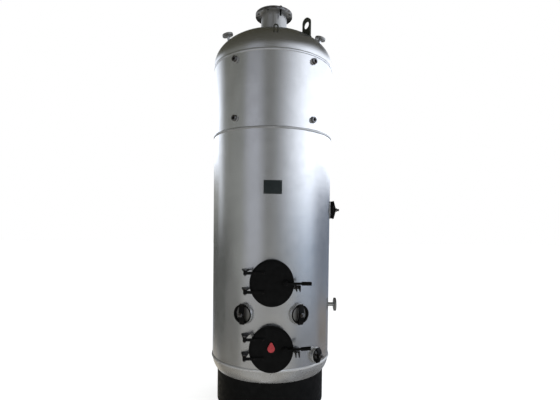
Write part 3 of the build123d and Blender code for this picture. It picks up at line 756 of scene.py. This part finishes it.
def dome_rivets(name, places, radius, height, body, slot):
    """Round-headed rivets at places, standing out towards the front."""
    way = Vector((0, -1, 0))
    side = way.orthogonal().normalized()
    up = way.cross(side)
    vertices = []
    faces = []
    for place in places:
        first = len(vertices)
        for ring in range(RIVET_RINGS):
            lean = math.pi / 2 * ring / RIVET_RINGS
            for k in range(RIVET_SIDES):
                turn = 2 * math.pi * k / RIVET_SIDES
                flat = radius * math.cos(lean) * (math.cos(turn) * side + math.sin(turn) * up)
                vertices.append(place + flat + height * math.sin(lean) * way)
        vertices.append(place + height * way)
        top = len(vertices) - 1
        last = first + (RIVET_RINGS - 1) * RIVET_SIDES
        for start in range(first, last, RIVET_SIDES):
            faces += ring_faces(start, start + RIVET_SIDES, RIVET_SIDES)
        for k in range(RIVET_SIDES):
            faces.append((last + k, last + (k + 1) % RIVET_SIDES, top))
        faces.append(tuple(first + k for k in reversed(range(RIVET_SIDES))))
    finish_piece(mesh_from(name, vertices, faces), name, body, materials[slot])


def strap_rivets():
    """Two rivets through each hinge strap into its door."""
    for name in ("upper", "lower"):
        places = []
        for points in islands(f"{name}_door_straps"):
            low, high = corners(points)
            front = max(-p.y for p in points if p.x > (low.x + high.x) / 2)
            for share in STRAP_RIVET_SHARES:
                places.append(Vector((low.x + share * (high.x - low.x), -front, (low.z + high.z) / 2)))
        dome_rivets(f"{name}_strap_rivets", places, RIVET_RADIUS, RIVET_HEIGHT,
                    f"{name}_door_leaf", "black_paint")


def label_rivets():
    """A rivet at each corner of the label plate."""
    low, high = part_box("label_plate")
    places = [Vector((x, low.y, z)) for x in (low.x + LABEL_RIVET_INSET, high.x - LABEL_RIVET_INSET)
              for z in (low.z + LABEL_RIVET_INSET, high.z - LABEL_RIVET_INSET)]
    dome_rivets("label_rivets", places, LABEL_RIVET_RADIUS, LABEL_RIVET_HEIGHT, "boiler", "bright_steel")


# Bare and black faces of painted pieces, and the loose bolt

def repaint(piece, material, chosen):
    """Another material on those faces of a piece that are chosen by their middle and their normal."""
    piece.data.materials.append(material)
    for polygon in piece.data.polygons:
        if chosen(polygon.center, polygon.normal):
            polygon.material_index = len(piece.data.materials) - 1


def black_rims(rings):
    """Black rims and bores on the handhole rings, all black at the side, thick paint on the roundings."""
    middles = [middle(points) for points in islands("handhole_rings")]

    def on_rim(place, normal):
        centre = min(middles, key=lambda point: (point - place).length)
        outward = from_axis(centre)
        across = place - centre
        across -= outward * across.dot(outward)
        at_side = centre.x > SIDE_RING_SHARE * shell_radius
        return normal.dot(outward) > RIM_COSINE or normal.dot(across) < 0.0 or at_side

    def on_round(place, normal):
        return normal.dot(from_axis(place)) > ROUND_COSINE and not on_rim(place, normal)

    repaint(rings, materials["black_paint"], on_rim)
    repaint(rings, materials["thick_paint"], on_round)


def bare_flange(flange):
    """Bare steel on the flue flange's rim and top and in its bolt holes."""
    pattern = mounts["flue_bolts"]["dims"]
    holes_inside = (pattern["pcd_mm"] / 2 - pattern["hole_r_mm"] - BARE_EDGE_MM) / 1000

    def is_bare(place, normal):
        upright = abs(normal.z) < FLAT_COSINE
        return normal.z > FLAT_COSINE or upright and math.hypot(place.x, place.y) > holes_inside

    repaint(flange, materials["bright_steel"], is_bare)


def flue_bolt():
    """One bolt, left hanging by its head in the flue flange."""
    pattern = mounts["flue_bolts"]
    turn = math.radians(FLUE_BOLT_AZIMUTH)
    reach = pattern["dims"]["pcd_mm"] / 2000
    top = pattern["pos_m"][2]
    place = Vector((reach * math.sin(turn), -reach * math.cos(turn), top))
    tip = -FLUE_BOLT_LENGTH
    shank = [(FLUE_BOLT_RADIUS - FLUE_BOLT_CHAMFER, tip),
             (FLUE_BOLT_RADIUS, tip + FLUE_BOLT_CHAMFER),
             (FLUE_BOLT_RADIUS, FLUE_BOLT_LIFT)]
    head = [(FLUE_BOLT_HEAD_RADIUS, FLUE_BOLT_LIFT),
            (FLUE_BOLT_HEAD_RADIUS, FLUE_BOLT_HEAD_HEIGHT - FLUE_BOLT_CHAMFER / 2),
            (FLUE_BOLT_HEAD_RADIUS - FLUE_BOLT_CHAMFER, FLUE_BOLT_HEAD_HEIGHT)]
    half_flat = math.pi / FLUE_BOLT_FLATS
    vertices = []
    faces = []
    for radius, height in shank + head:
        for k in range(FLUE_BOLT_SIDES):
            way = 2 * math.pi * k / FLUE_BOLT_SIDES
            reach = radius
            if height > 0 and radius > FLUE_BOLT_RADIUS:
                reach *= math.cos(half_flat) / math.cos((way + half_flat) % (2 * half_flat) - half_flat)
            vertices.append(place + Vector((reach * math.cos(way), reach * math.sin(way), height)))
    last = (len(shank + head) - 1) * FLUE_BOLT_SIDES
    for start in range(0, last, FLUE_BOLT_SIDES):
        faces += ring_faces(start, start + FLUE_BOLT_SIDES, FLUE_BOLT_SIDES)
    faces.append(tuple(reversed(range(FLUE_BOLT_SIDES))))
    faces.append(tuple(last + k for k in range(FLUE_BOLT_SIDES)))
    finish_piece(mesh_from("flue_flange_bolt", vertices, faces), "flue_flange_bolt", "boiler",
                 materials["black_paint"])


# Stage

# Soft panels of the studio round the object, which its paint mirrors: the middle azimuth, half width and edge
# softness, the middle elevation, half height and edge softness, and the light's colour. Later ones lie over
# earlier ones.
PANELS = (
    ("right horizon", 100, 100, 20, -45, 49, 14, (0.50, 0.61, 0.77)),
    ("right floor", 100, 100, 20, -50, 41, 10, (0.205, 0.217, 0.245)),
    ("far right horizon", 132, 46, 44, -2.5, 8.5, 8, (0.14, 0.17, 0.23)),
    ("far right floor", 122, 20, 26, -14.5, 4, 5, (0.20, 0.165, 0.135)),
    ("front wall", -24, 62, 90, 15, 60, 10, (0.200, 0.204, 0.201)),
    ("left wall", -80, 38, 36, 15, 60, 10, (0.275, 0.283, 0.268)),
    ("left opening", -35, 16, 20, 10, 50, 12, (0.46, 0.48, 0.53)),
    ("bright opening", -37, 14, 18, 15.5, 4, 6, (0.62, 0.64, 0.72)),
    ("rear left wall", -148, 34, 20, 62, 34, 16, (0.60, 0.60, 0.57)),
    ("rear left horizon", -150, 32, 24, -2, 10.3, 7, (0.33, 0.335, 0.31)),
    ("left horizon", -122, 42, 44, -9.5, 10.5, 9, (0.055, 0.057, 0.049)),
    ("front floor", -16, 60, 34, -50, 42, 6, (0.38, 0.375, 0.355)),
    ("left floor", -110, 46, 24, -50, 31.5, 5, (0.26, 0.235, 0.19)),
    ("left low shade", -79, 19, 13, -14, 6, 8, (0.145, 0.145, 0.135)),
    ("rear left floor", -152, 22, 24, -25, 7, 8, (0.60, 0.54, 0.43)),
    ("left shade", -138, 46, 40, -78, 36, 14, (0.060, 0.055, 0.045)),
    ("right shade", 124, 56, 44, -70, 36, 14, (0.035, 0.035, 0.040)),
    ("rear wall", 180, 14, 12, 10, 60, 12, (0.30, 0.30, 0.29)),
    ("left roof", -112, 55, 40, 78, 54, 16, (0.12, 0.12, 0.085)),
    ("right roof", 150, 40, 50, 75, 45, 20, (0.14, 0.14, 0.155)),
    ("roof", 0, 200, 10, 90, 62, 50, (0.045, 0.041, 0.022)),
)
SURROUND = (2.28, 2.40, 2.66)
WORLD_STRENGTH = 1.0
FLOOR_SIZE = 60.0
FLOOR_COLOUR = (0.93, 0.93, 0.925)
FLOOR_GLOW = 0.85
FLOOR_ROUGHNESS = 0.9


def studio_world():
    """White behind the object, and soft panels of light round it for its reflections."""
    world = bpy.data.worlds.new("studio")
    bpy.context.scene.world = world
    world.use_nodes = True
    tree = world.node_tree
    tree.nodes.clear()
    way = node(tree, "SeparateXYZ", {0: tree.nodes.new("ShaderNodeTexCoord").outputs["Generated"]})
    ahead = math_node(tree, "MULTIPLY", way.outputs["Y"], -1.0)
    azimuth = math_node(tree, "ARCTAN2", way.outputs["X"], ahead)
    elevation = math_node(tree, "ARCSINE", way.outputs["Z"])
    colour = SURROUND
    for _, turn, half_width, side_soft, rise, half_rise, end_soft, light in PANELS:
        across = math_node(tree, "SUBTRACT", azimuth, math.radians(turn))
        across = math_node(tree, "ABSOLUTE", math_node(tree, "WRAP", across, math.pi, -math.pi))
        upright = math_node(tree, "ABSOLUTE", math_node(tree, "SUBTRACT", elevation, math.radians(rise)))
        edges = ((across, half_width, side_soft), (upright, half_rise, end_soft))
        inside = [smooth_step(tree, value, math.radians(half + soft / 2), math.radians(half - soft / 2))
                  for value, half, soft in edges]
        colour = mix_colour(tree, math_node(tree, "MULTIPLY", *inside), colour, light)
    seen = node(tree, "LightPath").outputs["Is Camera Ray"]
    shown = mix_colour(tree, seen, colour, WHITE)
    light = node(tree, "Background", {"Color": shown, "Strength": WORLD_STRENGTH})
    output = tree.nodes.new("ShaderNodeOutputWorld")
    tree.links.new(light.outputs[0], output.inputs["Surface"])


def pale_floor():
    """A plain floor that the paint doesn't mirror."""
    half = FLOOR_SIZE / 2
    outline = [(-half, -half, 0), (half, -half, 0), (half, half, 0), (-half, half, 0)]
    material, tree, shader, place = start_material("pale_floor")
    colour = mix_colour(tree, noise(tree, place, scale=3.0, detail=3.0), FLOOR_COLOUR, WHITE)
    tree.links.new(colour, shader.inputs["Base Color"])
    tree.links.new(colour, shader.inputs["Emission Color"])
    shader.inputs["Emission Strength"].default_value = FLOOR_GLOW
    shader.inputs["Roughness"].default_value = FLOOR_ROUGHNESS
    floor = bpy.data.objects.new("floor", mesh_from("floor", outline, [(0, 1, 2, 3)]))
    floor.data.materials.append(material)
    bpy.context.scene.collection.objects.link(floor)
    floor.visible_glossy = False


def photo_camera():
    """The camera at the viewing angle of the photo."""
    yaw, pitch, roll = (math.radians(angle) for angle in (CAMERA_YAW, CAMERA_PITCH, CAMERA_ROLL))
    ahead = Vector((math.sin(yaw) * math.cos(pitch), math.cos(yaw) * math.cos(pitch), math.sin(pitch)))
    level = Vector((math.cos(yaw), -math.sin(yaw), 0.0))
    upright = level.cross(ahead)
    right = math.cos(roll) * level + math.sin(roll) * upright
    up = -math.sin(roll) * level + math.cos(roll) * upright
    lens = bpy.data.cameras.new("camera")
    lens.sensor_fit = "HORIZONTAL"
    lens.sensor_width = CAMERA_SENSOR
    lens.lens = CAMERA_LENS
    lens.shift_y = CAMERA_SHIFT_Y
    camera = bpy.data.objects.new("camera", lens)
    columns = Matrix((right, up, -ahead)).transposed().to_4x4()
    camera.matrix_world = Matrix.Translation(CAMERA_PLACE) @ columns
    bpy.context.scene.collection.objects.link(camera)
    bpy.context.scene.camera = camera


# Assembly

for node_name, cad_object in nodes.items():
    cad_object.data.materials.clear()
    cad_object.data.materials.append(paint_of(node_name))
rounded = {node_name: round_edges(node_name, width) for node_name, width in ROUND_OF_NODE.items()}
black_rims(rounded["handhole_rings"])
bare_flange(rounded["flue_flange"])
flue_bolt()

seam_welds()
fitting_welds()
lug_welds()
strap_rivets()
label_rivets()

studio_world()
pale_floor()
photo_camera()
bpy.context.scene.view_settings.view_transform = "Standard"
